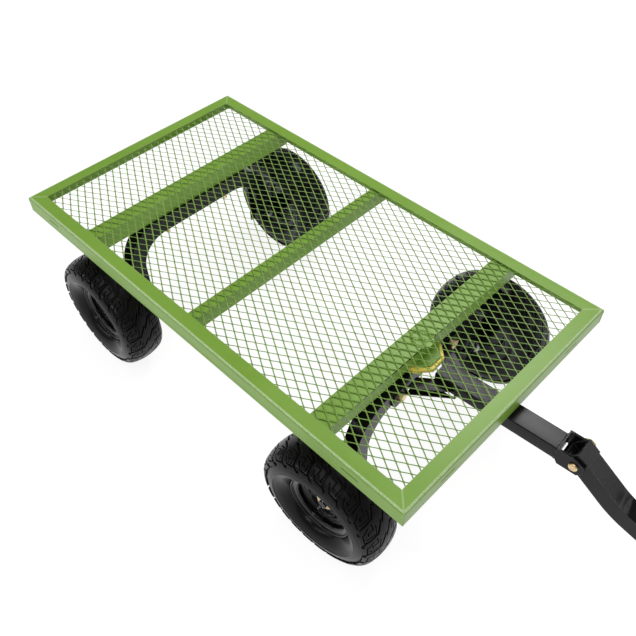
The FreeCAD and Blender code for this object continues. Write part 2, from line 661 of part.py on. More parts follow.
def handle_tube():
    outer = bent_bar(HANDLE_SIZE / 2, HANDLE_BACK, 0)
    inner = bent_bar(HANDLE_SIZE / 2 - HANDLE_WALL, HANDLE_BACK + 1, 1)
    tube = outer.cut(inner)
    half = HANDLE_SIZE
    bore = rod(PIVOT - vec(0, half, 0), PIVOT + vec(0, half, 0), PIVOT_RADIUS + RUNNING_FIT)
    return tube.cut(bore).cut(grip_bolt_bores())


def oblique_block(origin, along, up, lengths, heights, half_width):
    """Block with its axes along a run of the handle."""
    low = origin + along * lengths[0] + up * heights[0] - vec(0, half_width, 0)
    corners = [low, low + along * (lengths[1] - lengths[0])]
    rise = up * (heights[1] - heights[0])
    return prism([corners[0], corners[1], corners[1] + rise, corners[0] + rise],
                 vec(0, 2 * half_width, 0))


def handle_end_bracket():
    """Folded cover on the tube's end that runs between the clevis ears."""
    centre = PIVOT + FIRST_UP * HANDLE_RISE
    half = HANDLE_SIZE / 2
    lengths = (-HANDLE_BACK, BRACKET_AHEAD)
    outer = oblique_block(centre, FIRST_ALONG, FIRST_UP, lengths, (-half, half + BRACKET_WALL),
                          half + BRACKET_WALL)
    inner = oblique_block(centre, FIRST_ALONG, FIRST_UP, (lengths[0] - 1, lengths[1] + 1),
                          (-half - 1, half), half)
    bore = rod(PIVOT - vec(0, 2 * half, 0), PIVOT + vec(0, 2 * half, 0), PIVOT_RADIUS + RUNNING_FIT)
    return outer.cut(inner).cut(bore)


def grip_bolt_spots():
    return [TUBE_END - GRIP_ALONG * back for back in (15.0, 45.0)]


def grip_bolt_bores():
    reach = vec(0, HANDLE_SIZE, 0)
    bores = [rod(spot - reach, spot + reach, GRIP_BOLT_RADIUS) for spot in grip_bolt_spots()]
    return Part.makeCompound(bores)


def grip_loop():
    """Moulded loop: a plug in the tube, two spreading sides and a cross bar."""
    half = GRIP_WIDTH / 2
    neck = HANDLE_SIZE / 2

    def at(length, side):
        return TUBE_END + GRIP_ALONG * length + vec(0, side, 0) - GRIP_UP * (GRIP_THICKNESS / 2)

    end = GRIP_LENGTH
    outline = [at(0, -neck), at(14, -neck), at(48, -half), at(end, -half),
               at(end, half), at(48, half), at(14, neck), at(0, neck)]
    loop = prism(outline, GRIP_UP * GRIP_THICKNESS)
    upright = [e for e in loop.Edges if abs(e.Length - GRIP_THICKNESS) < 0.1
               and (e.CenterOfMass - TUBE_END).dot(GRIP_ALONG) > 5]
    loop = loop.makeFillet(8.0, upright)
    inner_half = half - GRIP_SIDE
    inner_end = end - GRIP_BAR
    hole = [at(30, -14), at(52, -inner_half), at(inner_end, -inner_half),
            at(inner_end, inner_half), at(52, inner_half), at(30, 14)]
    loop = loop.cut(prism(hole, GRIP_UP * GRIP_THICKNESS))
    plug = oblique_block(TUBE_END, GRIP_ALONG, GRIP_UP, (-GRIP_PLUG, 1),
                         (-GRIP_NECK / 2, GRIP_NECK / 2), GRIP_NECK / 2)
    return loop.fuse(plug).cut(grip_bolt_bores())


def grip_bolts():
    """Two cross bolts that hold the plug in the tube, with their nuts."""
    half = HANDLE_SIZE / 2
    bolts = []
    for spot in grip_bolt_spots():
        shank = rod(spot - vec(0, half, 0), spot + vec(0, half + 5, 0), GRIP_BOLT_RADIUS)
        head = hex_bar(spot - vec(0, half + 4, 0), vec(0, 1, 0), 10.0, 4.0)
        nut = hex_bar(spot + vec(0, half, 0), vec(0, 1, 0), 10.0, 5.0)
        bolts.append(shank.fuse(head).fuse(nut))
    return Part.makeCompound(bolts)


def handle_pieces():
    pieces = {
        "handle_tube": handle_tube(),
        "handle_end_bracket": handle_end_bracket(),
        "grip_loop": grip_loop(),
        "grip_bolts": grip_bolts(),
    }
    for name, piece in pieces.items():
        save(name, piece, turned=True)


# --- wheels: left wheel, w outwards along +Y from the wheel's middle plane ---------------------
def turned_solid(points):
    """Solid of revolution about the spindle's line; points are (w, radius)."""
    outline = [vec(SPINDLE_FORWARD, TRACK / 2 + w, SPINDLE_Z + radius) for w, radius in points]
    face = Part.Face(Part.makePolygon(outline + [outline[0]]))
    return face.revolve(vec(SPINDLE_FORWARD, 0, SPINDLE_Z), vec(0, 1, 0), 360)


def arc_points(centre, half_width, height, start, stop, count):
    """Points on an elliptical arc, angles in degrees from the w axis."""
    points = []
    for step in range(count + 1):
        turn = math.radians(start + (stop - start) * step / count)
        points.append((centre[0] + half_width * math.cos(turn), centre[1] + height * math.sin(turn)))
    return points


def tyre():
    """Carcass of revolution: crown, bulging walls, and beads behind the rim's lips."""
    bulge_r = 97.0
    crown = WHEEL_RADIUS - bulge_r
    right = arc_points((21.0, bulge_r), TYRE_HALF - 21.0, crown, -75, 90, 12)
    left = [(-w, r) for w, r in reversed(right)]
    bead_r = SEAT_RADIUS + BEAD_GAP
    bead_w = SEAT_W - BEAD_GAP
    bead_top = LIP_RADIUS + 2 * BEAD_GAP
    bead = [(-bead_w, bead_top), (-bead_w, bead_r), (7 - bead_w, bead_r)]
    cavity_right = arc_points((17.0, bulge_r - 2), TYRE_HALF - 24.0, crown - 6, -70, 90, 10)
    cavity_left = [(-w, r) for w, r in reversed(cavity_right)]
    other_bead = [(bead_w - 7, bead_r), (bead_w, bead_r), (bead_w, bead_top)]
    cavity = list(reversed(cavity_right + cavity_left))
    return turned_solid(right + left + bead + cavity + other_bead)


def rim():
    """Pressed rim with two lips, a dropped middle and a flat disc round the hub."""
    half = [(LIP_W, LIP_RADIUS), (SEAT_W, SEAT_RADIUS), (WELL_W + 5, SEAT_RADIUS),
            (WELL_W, WELL_RADIUS)]
    outside = half + [(-w, r) for w, r in reversed(half)]
    inside = [(LIP_W + 2, LIP_RADIUS - 1), (SEAT_W + 1.5, SEAT_RADIUS - RIM_WALL),
              (WELL_W + 4, SEAT_RADIUS - RIM_WALL), (WELL_W - 1, WELL_RADIUS - RIM_WALL),
              (RIM_WALL / 2, WELL_RADIUS - RIM_WALL), (RIM_WALL / 2, HUB_RADIUS)]
    mirrored_inside = [(-w, r) for w, r in inside]
    body = turned_solid(outside + mirrored_inside + list(reversed(inside)))
    return body.cut(valve(VALVE_RADIUS + 0.6))


def valve(radius):
    """Valve stem, upright above the spindle on the wheel's outer side."""
    y = TRACK / 2 + VALVE_W
    return rod(vec(SPINDLE_FORWARD, y, SPINDLE_Z + VALVE_TIP),
               vec(SPINDLE_FORWARD, y, SPINDLE_Z + TUBE_RING - TUBE_RADIUS + 1), radius)


def inner_tube():
    """Air tube with its valve stem."""
    centre = vec(SPINDLE_FORWARD, TRACK / 2, SPINDLE_Z)
    outer = Part.makeTorus(TUBE_RING, TUBE_RADIUS, centre, vec(0, 1, 0))
    stem = valve(VALVE_RADIUS)
    air = Part.makeTorus(TUBE_RING, TUBE_RADIUS - TUBE_WALL, centre, vec(0, 1, 0))
    return outer.fuse(stem).cut(air)


def hub():
    w0 = HUB_INNER - TRACK / 2
    w1 = HUB_OUTER - TRACK / 2
    return turned_solid([(w0, HUB_BORE), (w1, HUB_BORE), (w1, HUB_RADIUS), (w0, HUB_RADIUS)])


def hub_bearings():
    """Flanged bearings in both ends of the hub, two solids."""
    bore = SPINDLE_RADIUS + RUNNING_FIT
    w0 = HUB_INNER - TRACK / 2
    w1 = HUB_OUTER - TRACK / 2
    rings = []
    for low in (w0, w1 - BEARING_WIDTH):
        high = low + BEARING_WIDTH
        rings.append(turned_solid([(low, bore), (high, bore), (high, HUB_BORE), (low, HUB_BORE)]))
    return Part.makeCompound(rings)


def wheel_pieces():
    makers = {"tyre": tyre, "inner_tube": inner_tube, "rim": rim, "hub": hub,
              "hub_bearings": hub_bearings}
    for kind, maker in makers.items():
        left = maker()
        for side, piece in (("left", left), ("right", mirrored(left))):
            save("front_" + side + "_" + kind, piece, turned=True)
            piece.translate(vec(REAR_AXLE_X, 0, 0))
            save("rear_" + side + "_" + kind, piece)


os.makedirs("parts", exist_ok=True)
deck_pieces()
save("turntable_plate", turntable_plate())
save("kingpin_bolt", kingpin_bolt())
save("kingpin_nut", kingpin_nut())
rear_axle_pieces()
front_axle_pieces()
handle_pieces()
wheel_pieces()
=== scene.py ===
"""Finish of the garden cart: its green deck, black running gear, wheels and pull handle."""
import json
import math
import random

import bmesh
import bpy
from mathutils import Euler, Matrix, Vector

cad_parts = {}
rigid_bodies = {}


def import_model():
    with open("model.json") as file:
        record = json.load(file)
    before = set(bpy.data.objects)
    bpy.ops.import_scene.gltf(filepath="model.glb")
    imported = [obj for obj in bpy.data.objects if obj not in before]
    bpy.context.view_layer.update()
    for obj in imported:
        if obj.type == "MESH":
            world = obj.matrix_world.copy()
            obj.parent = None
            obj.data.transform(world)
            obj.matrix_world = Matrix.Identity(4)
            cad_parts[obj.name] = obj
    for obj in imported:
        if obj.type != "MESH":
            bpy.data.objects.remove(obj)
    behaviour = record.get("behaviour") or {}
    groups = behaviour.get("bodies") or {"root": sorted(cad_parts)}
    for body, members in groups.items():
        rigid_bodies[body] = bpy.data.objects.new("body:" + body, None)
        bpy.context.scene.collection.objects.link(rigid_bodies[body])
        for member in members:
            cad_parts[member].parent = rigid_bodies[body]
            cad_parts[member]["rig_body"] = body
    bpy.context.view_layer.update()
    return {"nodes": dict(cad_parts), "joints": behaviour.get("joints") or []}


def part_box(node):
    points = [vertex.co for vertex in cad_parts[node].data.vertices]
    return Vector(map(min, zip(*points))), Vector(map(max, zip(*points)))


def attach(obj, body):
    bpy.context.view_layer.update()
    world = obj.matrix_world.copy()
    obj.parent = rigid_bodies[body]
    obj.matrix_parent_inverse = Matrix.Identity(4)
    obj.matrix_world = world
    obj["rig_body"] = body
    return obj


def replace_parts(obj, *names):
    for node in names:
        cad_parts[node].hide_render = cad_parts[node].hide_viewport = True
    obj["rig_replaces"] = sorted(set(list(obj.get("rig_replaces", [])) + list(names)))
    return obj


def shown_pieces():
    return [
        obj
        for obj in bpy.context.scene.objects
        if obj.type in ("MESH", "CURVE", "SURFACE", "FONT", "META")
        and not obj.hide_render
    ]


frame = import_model()
nodes = frame["nodes"]
joints = {joint["child"]: joint for joint in frame["joints"]}

MM = 0.001
WHEELS = [(end, side) for end in ("rear", "front") for side in ("left", "right")]
STEER = math.atan2(-joints["wheel_front_left"]["axis"][0], joints["wheel_front_left"]["axis"][1])


# ---------------------------------------------------------------- finishes

def put(tree, kind, sockets=(), **settings):
    """Adds a shader node with its settings, its input values and its incoming links."""
    made = tree.nodes.new("ShaderNode" + kind)
    for name, value in settings.items():
        setattr(made, name, value)
    for name, value in dict(sockets).items():
        if isinstance(value, bpy.types.NodeSocket):
            tree.links.new(value, made.inputs[name])
        else:
            made.inputs[name].default_value = value
    return made


def mixed(tree, share, first, second):
    """A colour between two others."""
    mix = put(tree, "Mix", data_type="RGBA")
    for socket, value in zip((mix.inputs[0], mix.inputs[6], mix.inputs[7]), (share, first, second)):
        if isinstance(value, bpy.types.NodeSocket):
            tree.links.new(value, socket)
        else:
            socket.default_value = value
    return mix.outputs[2]


def spread(tree, value, low, high):
    """A value from 0 to 1 laid out between two others."""
    return put(tree, "MapRange", {"Value": value, "To Min": low, "To Max": high}).outputs[0]


def picked(tree, value, start, end):
    """What lies between two levels of a value, as a mask from 0 to 1."""
    return put(tree, "MapRange", {"Value": value, "From Min": start, "From Max": end}).outputs[0]


def times(tree, first, second):
    """The product of two masks."""
    return put(tree, "Math", {0: first, 1: second}, operation="MULTIPLY", use_clamp=True).outputs[0]


def group(name, inputs, outputs):
    """An empty shader group with float sockets."""
    tree = bpy.data.node_groups.new(name, "ShaderNodeTree")
    for label, usual in inputs.items():
        socket = tree.interface.new_socket(label, in_out="INPUT", socket_type="NodeSocketFloat")
        socket.default_value = usual
    for label in outputs:
        tree.interface.new_socket(label, in_out="OUTPUT", socket_type="NodeSocketFloat")
    return tree, tree.nodes.new("NodeGroupInput").outputs, tree.nodes.new("NodeGroupOutput").inputs


def make_mottle():
    """Slow and fine unevenness of a coat, in metres."""
    tree, given, out = group("mottle", {"Broad": 9.0, "Fine": 260.0}, ("Cloud", "Speck"))
    place = put(tree, "TexCoord").outputs["Object"]
    cloud = put(tree, "TexNoise", {"Vector": place, "Scale": given["Broad"], "Detail": 4.0, "Roughness": 0.6})
    speck = put(tree, "TexNoise", {"Vector": place, "Scale": given["Fine"], "Detail": 3.0, "Roughness": 0.7})
    tree.links.new(picked(tree, cloud.outputs["Fac"], 0.32, 0.68), out["Cloud"])
    tree.links.new(picked(tree, speck.outputs["Fac"], 0.3, 0.7), out["Speck"])
    return tree


def make_edge_wear_and_sheen():
    """Outer edges, broken up as handling does it: where a coat thins and wears, and on the green and black
    coats also a painted edge highlight.
    """
    tree, given, out = group("edge_wear_and_sheen", {"Width": 0.0012, "Break": 160.0, "Amount": 1.0}, ("Edge",))
    rounded = put(tree, "Bevel", {"Radius": given["Width"]}, samples=4)
    plain = put(tree, "NewGeometry").outputs["Normal"]
    both = {0: rounded.outputs[0], 1: plain}
    turn = put(tree, "VectorMath", both, operation="DOT_PRODUCT").outputs["Value"]
    edge = put(tree, "MapRange", {"Value": turn, "From Min": 0.995, "From Max": 0.86}).outputs[0]
    place = put(tree, "TexCoord").outputs["Object"]
    broken = put(tree, "TexNoise", {"Vector": place, "Scale": given["Break"], "Detail": 3.0})
    kept = picked(tree, broken.outputs["Fac"], 0.3, 0.62)
    lightening = times(tree, times(tree, edge, kept), given["Amount"])
    tree.links.new(lightening, out["Edge"])
    return tree


def make_dust():
    """Patches of fine dust that gather unevenly."""
    tree, given, out = group("dust", {"Size": 14.0, "Cover": 0.5}, ("Dust",))
    place = put(tree, "TexCoord").outputs["Object"]
    patch = put(tree, "TexNoise", {"Vector": place, "Scale": given["Size"], "Detail": 6.0, "Roughness": 0.7})
    powder = put(tree, "TexNoise", {"Vector": place, "Scale": 900.0, "Detail": 2.0})
    patches = picked(tree, patch.outputs["Fac"], 0.42, 0.75)
    lying = times(tree, patches, picked(tree, powder.outputs["Fac"], 0.25, 0.7))
    tree.links.new(times(tree, lying, given["Cover"]), out["Dust"])
    return tree


GROUPS = {"mottle": make_mottle(), "edge_wear_and_sheen": make_edge_wear_and_sheen(), "dust": make_dust()}


def use(tree, name, values=()):
    """Places one of the shared groups."""
    made = tree.nodes.new("ShaderNodeGroup")
    made.node_tree = GROUPS[name]
    for label, value in dict(values).items():
        made.inputs[label].default_value = value
    return made.outputs


def blank(name):
    """A material with one Principled shader."""
    material = bpy.data.materials.new(name)
    material.use_nodes = True
    tree = material.node_tree
    shader = next(n for n in tree.nodes if n.type == "BSDF_PRINCIPLED")
    return material, tree, shader


def bumped(tree, shader, height, depth, soft=0.0):
    """Gives a surface its fine relief and softens its edges; both in metres."""
    bump = put(tree, "Bump", {"Height": height, "Distance": depth, "Strength": 1.0})
    if soft:
        tree.links.new(put(tree, "Bevel", {"Radius": soft}, samples=6).outputs[0], bump.inputs["Normal"])
    tree.links.new(bump.outputs[0], shader.inputs["Normal"])


def coated(name, colour, deep, edge_and_sheen, rough, peel, edge, cover, coat=0.0, shine=0.5):
    """Powder coat: colour clouds, orange peel, lighter edges that are partly wear and partly painted
    highlight, a painted highlight along the rails' outer bends, lighter mitre and weld marks, and a little
    dust.
    """
    material, tree, shader = blank(name)
    uneven = use(tree, "mottle", {"Broad": 7.0, "Fine": 420.0})
    lightening = use(tree, "edge_wear_and_sheen", {"Width": 0.0011, "Amount": edge})["Edge"]
    lying = use(tree, "dust", {"Cover": cover})["Dust"]
    base = mixed(tree, uneven["Cloud"], deep, colour)
    # Edges take the lighter edge colour: wear of the coat, and on the green and black coats partly a painted
    # highlight.
    base = mixed(tree, lightening, base, edge_and_sheen)
    # Marked points are painted lighter: a painted highlight along the rails' outer bends, and on mitres and
    # weld beads partly wear, partly painted highlight.
    fold = put(tree, "Attribute", attribute_name="fold").outputs["Fac"]
    sheen_and_wear_mask = times(tree, fold, spread(tree, uneven["Speck"], 0.15, 0.85))
    base = mixed(tree, sheen_and_wear_mask, base, edge_and_sheen)
    base = mixed(tree, lying, base, DUST_COLOUR)
    tree.links.new(base, shader.inputs["Base Color"])
    worked = spread(tree, uneven["Cloud"], rough - 0.04, rough + 0.05)
    dusty = spread(tree, lying, 0.0, 0.25)
    dull = put(tree, "Math", {0: worked, 1: dusty}, operation="ADD").outputs[0]
    tree.links.new(dull, shader.inputs["Roughness"])
    bumped(tree, shader, uneven["Speck"], peel)
    shader.inputs["Coat Weight"].default_value = coat
    shader.inputs["Coat Roughness"].default_value = 0.2
    shader.inputs["Specular IOR Level"].default_value = shine
    return material


def plated(name, colour, tint, other, rough, along):
    """Plated or bare steel: shifting plate colour, drawn lines and rubbed edges."""
    material, tree, shader = blank(name)
    uneven = use(tree, "mottle", {"Broad": 90.0, "Fine": 900.0})
    lightening = use(tree, "edge_wear_and_sheen", {"Width": 0.0006, "Break": 300.0})["Edge"]
    place = put(tree, "TexCoord").outputs["Object"]
    drawn = put(tree, "Mapping", {"Vector": place, "Scale": along})
    lines = put(tree, "TexNoise", {"Vector": drawn.outputs[0], "Scale": 500.0, "Detail": 2.0}).outputs["Fac"]
    base = mixed(tree, uneven["Cloud"], colour, tint)
    base = mixed(tree, times(tree, uneven["Speck"], 0.35), base, other)
    base = mixed(tree, lightening, base, (0.85, 0.82, 0.74, 1.0))
    tree.links.new(base, shader.inputs["Base Color"])
    shader.inputs["Metallic"].default_value = 1.0
    tree.links.new(spread(tree, lines, rough - 0.1, rough + 0.14), shader.inputs["Roughness"])
    bumped(tree, shader, lines, 0.00003)
    return material


def moulded(name, colour, deep, rough, grain, fine, cover, shine=0.5, soft=0.0):
    """Moulded plastic or rubber: fine grain, slow shade changes and dust in the grain."""
    material, tree, shader = blank(name)
    uneven = use(tree, "mottle", {"Broad": 16.0, "Fine": fine})
    lying = use(tree, "dust", {"Size": 22.0, "Cover": cover})["Dust"]
    lightening = use(tree, "edge_wear_and_sheen", {"Width": 0.001, "Amount": 0.35})["Edge"]
    base = mixed(tree, uneven["Cloud"], deep, colour)
    base = mixed(tree, lightening, base, [min(1.0, 2.2 * c) for c in colour[:3]] + [1.0])
    base = mixed(tree, lying, base, DUST_COLOUR)
    tree.links.new(base, shader.inputs["Base Color"])
    tree.links.new(spread(tree, uneven["Speck"], rough - 0.05, rough + 0.07), shader.inputs["Roughness"])
    bumped(tree, shader, uneven["Speck"], grain, soft)
    shader.inputs["Specular IOR Level"].default_value = shine
    return material


DUST_COLOUR = (0.36, 0.34, 0.31, 1.0)
# The third green colour lightens edges and marked points: partly wear, partly a painted highlight, and the
# painted highlight along the rails' outer bends.
GREEN, GREEN_DEEP, GREEN_EDGE_AND_SHEEN = (0.203, 0.365, 0.052, 1), (0.180, 0.332, 0.044, 1), (0.62, 0.74, 0.50, 1)
BED_GREEN, BED_DEEP, BED_RUBBED = (0.205, 0.355, 0.062, 1), (0.165, 0.290, 0.048, 1), (0.42, 0.60, 0.25, 1)
BLACK, BLACK_DEEP = (0.0068, 0.0064, 0.0072, 1), (0.0050, 0.0048, 0.0054, 1)
# The lighter edge colour of the black coat is partly wear and partly a painted highlight on its edges.
BLACK_EDGE_AND_SHEEN = (0.20, 0.20, 0.205, 1)
GLOSS, GLOSS_DEEP = (0.0040, 0.0040, 0.0044, 1), (0.0030, 0.0030, 0.0034, 1)
GLOSS_RUBBED = (0.03, 0.03, 0.03, 1)
ZINC, ZINC_GREEN, ZINC_PINK = (0.80, 0.58, 0.28, 1), (0.72, 0.62, 0.34, 1), (0.66, 0.42, 0.36, 1)
STEEL, STEEL_DARK, STEEL_WARM = (0.62, 0.62, 0.63, 1), (0.52, 0.52, 0.53, 1), (0.70, 0.69, 0.66, 1)
YELLOW, YELLOW_DEEP = (1.00, 0.80, 0.13, 1), (0.95, 0.72, 0.11, 1)
GRIP, GRIP_DEEP = (0.014, 0.014, 0.0145, 1), (0.010, 0.010, 0.0105, 1)
RUBBER, RUBBER_DEEP = (0.0062, 0.0061, 0.0066, 1), (0.0046, 0.0045, 0.0049, 1)
TUBE_RUBBER, TUBE_DEEP = (0.014, 0.014, 0.014, 1), (0.010, 0.010, 0.010, 1)

FINISH = {
    "green_paint": coated("green_powder_coat", GREEN, GREEN_DEEP, GREEN_EDGE_AND_SHEEN, rough=0.30, peel=0.00002,
                          edge=0.45, cover=0.04, coat=0.0, shine=0.22),
    "green_mesh": coated("green_mesh_coat", BED_GREEN, BED_DEEP, BED_RUBBED, rough=0.36, peel=0.00002,
                         edge=0.7, cover=0.04, coat=0.05, shine=0.36),
    "black_paint": coated("black_powder_coat", BLACK, BLACK_DEEP, BLACK_EDGE_AND_SHEEN, rough=0.22, peel=0.00002,
                          edge=0.7, cover=0.015, coat=0.0, shine=0.16),
    "rim_paint": coated("rim_gloss_black", GLOSS, GLOSS_DEEP, GLOSS_RUBBED, rough=0.09, peel=0.000008,
                        edge=0.25, cover=0.01, coat=0.0, shine=0.26),
    "zinc_steel": plated("yellow_zinc", ZINC, ZINC_GREEN, ZINC_PINK, rough=0.30, along=(1, 1, 1)),
    "bright_steel": plated("bright_steel", STEEL, STEEL_DARK, STEEL_WARM, rough=0.32, along=(1, 0.1, 1)),
    "yellow_plastic": moulded("yellow_wear_plastic", YELLOW, YELLOW_DEEP, rough=0.36, grain=0.00002,
                              fine=500.0, cover=0.08),
    "grip_plastic": moulded("black_grip_plastic", GRIP, GRIP_DEEP, rough=0.5, grain=0.00006,
                            fine=700.0, cover=0.06, shine=0.35),
    "tyre_rubber": moulded("tyre_rubber", RUBBER, RUBBER_DEEP, rough=0.24, grain=0.00002,
                           fine=500.0, cover=0.02, shine=0.13, soft=0.0016),
    "tube_rubber": moulded("tube_rubber", TUBE_RUBBER, TUBE_DEEP, rough=0.5, grain=0.00003,
                           fine=500.0, cover=0.05),
}


# ---------------------------------------------------------------- making pieces

SHARP = math.radians(35)


def shade(bm, sharp=SHARP):
    """Smooth faces, with the edges that turn more than sharp kept crisp."""
    for face in bm.faces:
        face.smooth = True
    for edge in bm.edges:
        edge.smooth = len(edge.link_faces) == 2 and edge.calc_face_angle(0.0) < sharp


def piece(name, bm, body, slot, stands_for=(), sharp=SHARP):
    """Makes an object of a finished bmesh, which rides on a body and stands for CAD nodes."""
    shade(bm, sharp)
    mesh = bpy.data.meshes.new(name)
    bm.to_mesh(mesh)
    bm.free()
    mesh.materials.append(FINISH[slot])
    made = bpy.data.objects.new(name, mesh)
    bpy.context.scene.collection.objects.link(made)
    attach(made, body)
    if stands_for:
        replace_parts(made, *stands_for)
    return made


def rounded_edges(made, width, steps=2):
    """Breaks a piece's sharp edges with a small round."""
    bevel = made.modifiers.new("edge_round", "BEVEL")
    bevel.width = width * MM
    bevel.segments = steps
    bevel.limit_method = "ANGLE"
    bevel.angle_limit = SHARP
    bevel.harden_normals = True
    return made


def merged(node):
    """A CAD node's shape as one welded mesh with whole flat faces."""
    bm = bmesh.new()
    bm.from_mesh(nodes[node].data)
    bmesh.ops.remove_doubles(bm, verts=bm.verts, dist=2e-6)
    bmesh.ops.dissolve_limit(bm, angle_limit=math.radians(0.6), verts=bm.verts, edges=bm.edges)
    return bm


DISH = ((21.0, 0.0), (19.2, 1.6), (17.4, 2.0), (6.4, 2.0), (5.0, 1.0), (3.4, 0.9), (2.6, 1.4))
HANDLE_SLOPE = math.radians(36.5)
GRIP_SLOPE = math.radians(17.56)
BEND_AHEAD = 104
BEND_RISE = 4.5
CRIMP_REACH = 34
CRIMP_HALF = 15.5


def bend_place():
    """The handle's bend: the corner of its centre line, its direction there and its upward normal."""
    pivot = Vector(joints["handle"]["pos_m"])
    forward = Vector((math.cos(STEER), math.sin(STEER), 0))
    first = forward * math.cos(HANDLE_SLOPE) - Vector((0, 0, math.sin(HANDLE_SLOPE)))
    lift = forward * math.sin(HANDLE_SLOPE) + Vector((0, 0, math.cos(HANDLE_SLOPE)))
    middle = (HANDLE_SLOPE + GRIP_SLOPE) / 2
    along = forward * math.cos(middle) - Vector((0, 0, math.sin(middle)))
    up = forward * math.sin(middle) + Vector((0, 0, math.cos(middle)))
    return pivot + (first * BEND_AHEAD + lift * BEND_RISE) * MM, along, up


def body_with(node):
    """The moving body that a CAD node belongs to."""
    return nodes[node]["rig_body"]


def mark_fold(bm):
    """Marks the points along a rail's outer bend, where the coat gets a painted highlight."""
    fold = bm.verts.layers.float.new("fold")
    for vert in bm.verts:
        slopes = [f.normal.z for f in vert.link_faces if abs(f.normal.z) < 0.98]
        under_flat = len(slopes) == len(vert.link_faces) - 1
        on_fold = bool(slopes) and min(slopes) > 0.35 and under_flat
        halfway = len(slopes) > 1 and 0.45 < sum(slopes) / len(slopes) < 0.9
        vert[fold] = 1.0 if on_fold or halfway else 0.0


MITRE_HALF = 2.2
MITRE_REACH = 0.08


def on_mitre(vert, corner, normal):
    """True if a point lies on the mitre of a corner of the deck."""
    away = vert.co - corner
    return abs(away.dot(normal)) < 0.0005 and away.to_2d().length < MITRE_REACH


def mark_mitres(bm):
    """Marks the ground weld line along the mitres at the deck's corners, painted lighter: partly wear of the
    coat, partly a painted highlight.
    """
    fold = bm.verts.layers.float["fold"]
    low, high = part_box("deck_rail_right")[0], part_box("deck_rail_left")[1]
    for corner_x, in_x in ((low.x, 1), (high.x, -1)):
        for corner_y, in_y in ((low.y, 1), (high.y, -1)):
            corner, normal = Vector((corner_x, corner_y, 0)), Vector((in_x, -in_y, 0)).normalized()
            if not any(on_mitre(vert, corner, normal) for vert in bm.verts):
                continue
            for side in (1, -1):
                whole = bm.verts[:] + bm.edges[:] + bm.faces[:]
                place = corner + normal * side * MITRE_HALF * MM
                bmesh.ops.bisect_plane(bm, geom=whole, dist=1e-6, plane_co=place, plane_no=normal)
            for vert in bm.verts:
                if on_mitre(vert, corner, normal):
                    vert[fold] = 0.6


def press_dish(bm, centre, rings):
    """Presses a stepped round dish into the flat top; rings are (radius, drop) in millimetres."""
    top = max((f for f in bm.faces if f.normal.z > 0.99), key=lambda f: f.calc_area())
    height = top.verts[0].co.z
    border = list(top.edges)
    bmesh.ops.delete(bm, geom=[top], context="FACES_ONLY")
    loops = []
    for radius, drop in rings:
        place = Matrix.Translation((centre.x, centre.y, height - drop * MM))
        verts = bmesh.ops.create_circle(bm, segments=48, radius=radius * MM, matrix=place)["verts"]
        loops.append(list({e for v in verts for e in v.link_edges}))
    bmesh.ops.triangle_fill(bm, edges=border + loops[0], use_beauty=True, use_dissolve=False)
    for outer, inner in zip(loops, loops[1:]):
        bmesh.ops.bridge_loops(bm, edges=outer + inner)
    bmesh.ops.holes_fill(bm, edges=loops[-1], sides=0)
    bmesh.ops.recalc_face_normals(bm, faces=bm.faces)


def wrinkle(bm, corner, along, up):
    """Crimps the top of the tube where it is bent: ripples across it that fade both ways."""
    side = up.cross(along)
    for distance in range(-CRIMP_REACH, CRIMP_REACH + 2, 3):
        whole = bm.verts[:] + bm.edges[:] + bm.faces[:]
        place = corner + along * distance * MM
        bmesh.ops.bisect_plane(bm, geom=whole, dist=1e-6, plane_co=place, plane_no=along)
    for offset in (-14, -9, -4.5, 0, 4.5, 9, 14):
        whole = bm.verts[:] + bm.edges[:] + bm.faces[:]
        place = corner + side * offset * MM
        bmesh.ops.bisect_plane(bm, geom=whole, dist=1e-6, plane_co=place, plane_no=side)
    for vert in bm.verts:
        place = (vert.co - corner) / MM
        ahead, across, rise = place.dot(along), place.dot(side), place.dot(up)
        if abs(ahead) < CRIMP_REACH and abs(across) < CRIMP_HALF and rise > 12.5:
            fade = math.exp(-(ahead / 15) ** 2) * (1 - (across / CRIMP_HALF) ** 2)
            vert.co -= up * MM * fade * (0.8 + 0.55 * math.sin(ahead / 3.4))


def refine(node, slot, width, steps=2):
    """A CAD node with its edges broken, in its finish."""
    bm = merged(node)
    if node.startswith("deck_rail"):
        mark_fold(bm)
        mark_mitres(bm)
    if node == "cross_member_front":
        press_dish(bm, Vector(joints["steering"]["pos_m"]), DISH)
    if node == "handle_tube":
        wrinkle(bm, *bend_place())
    made = piece("made_" + node, bm, body_with(node), slot, (node,))
    return rounded_edges(made, width, steps)


# ---------------------------------------------------------------- wheels

TYRE_RADIUS = 128.0
PITCHES = 24
PITCH = 2 * math.pi * TYRE_RADIUS / PITCHES
TREAD = 50.0
TREAD_DEPTH = 4.6
ROOT = 0.6
MAIN_GROOVE = 4.0
SIPE = 2.3
SHOULDER_STEP = 2.9
CASING = 8.5
# length along the section and the slope at each arc's two ends, from the middle of the tread to the bead
SECTION = ((30, 0.0, 0.30), (20, 0.30, 1.25), (12, 1.25, math.pi / 2), (36, math.pi / 2, 2.5), (7, 2.5, 3.0))
# grooves of one pitch of one half: along the tyre, and in from the shoulder
GROOVES = (
    (MAIN_GROOVE, ((2.0, -2.0), (-11.7, 10.8), (-16.3, 35.5), (-38.6, 51.0))),
    (6.5, ((2.6, -2.0), (0.4, 2.6))),
    (SIPE, ((20.2, 7.8), (4.0, 9.6), (-5.8, 21.8))),
    (SIPE, ((14.6, 13.3), (14.0, 32.4), (-0.5, 36.7))),
    (SIPE, ((-8.2, 30.8), (2.6, 30.2), (3.0, 19.8), (7.4, 18.8))),
)


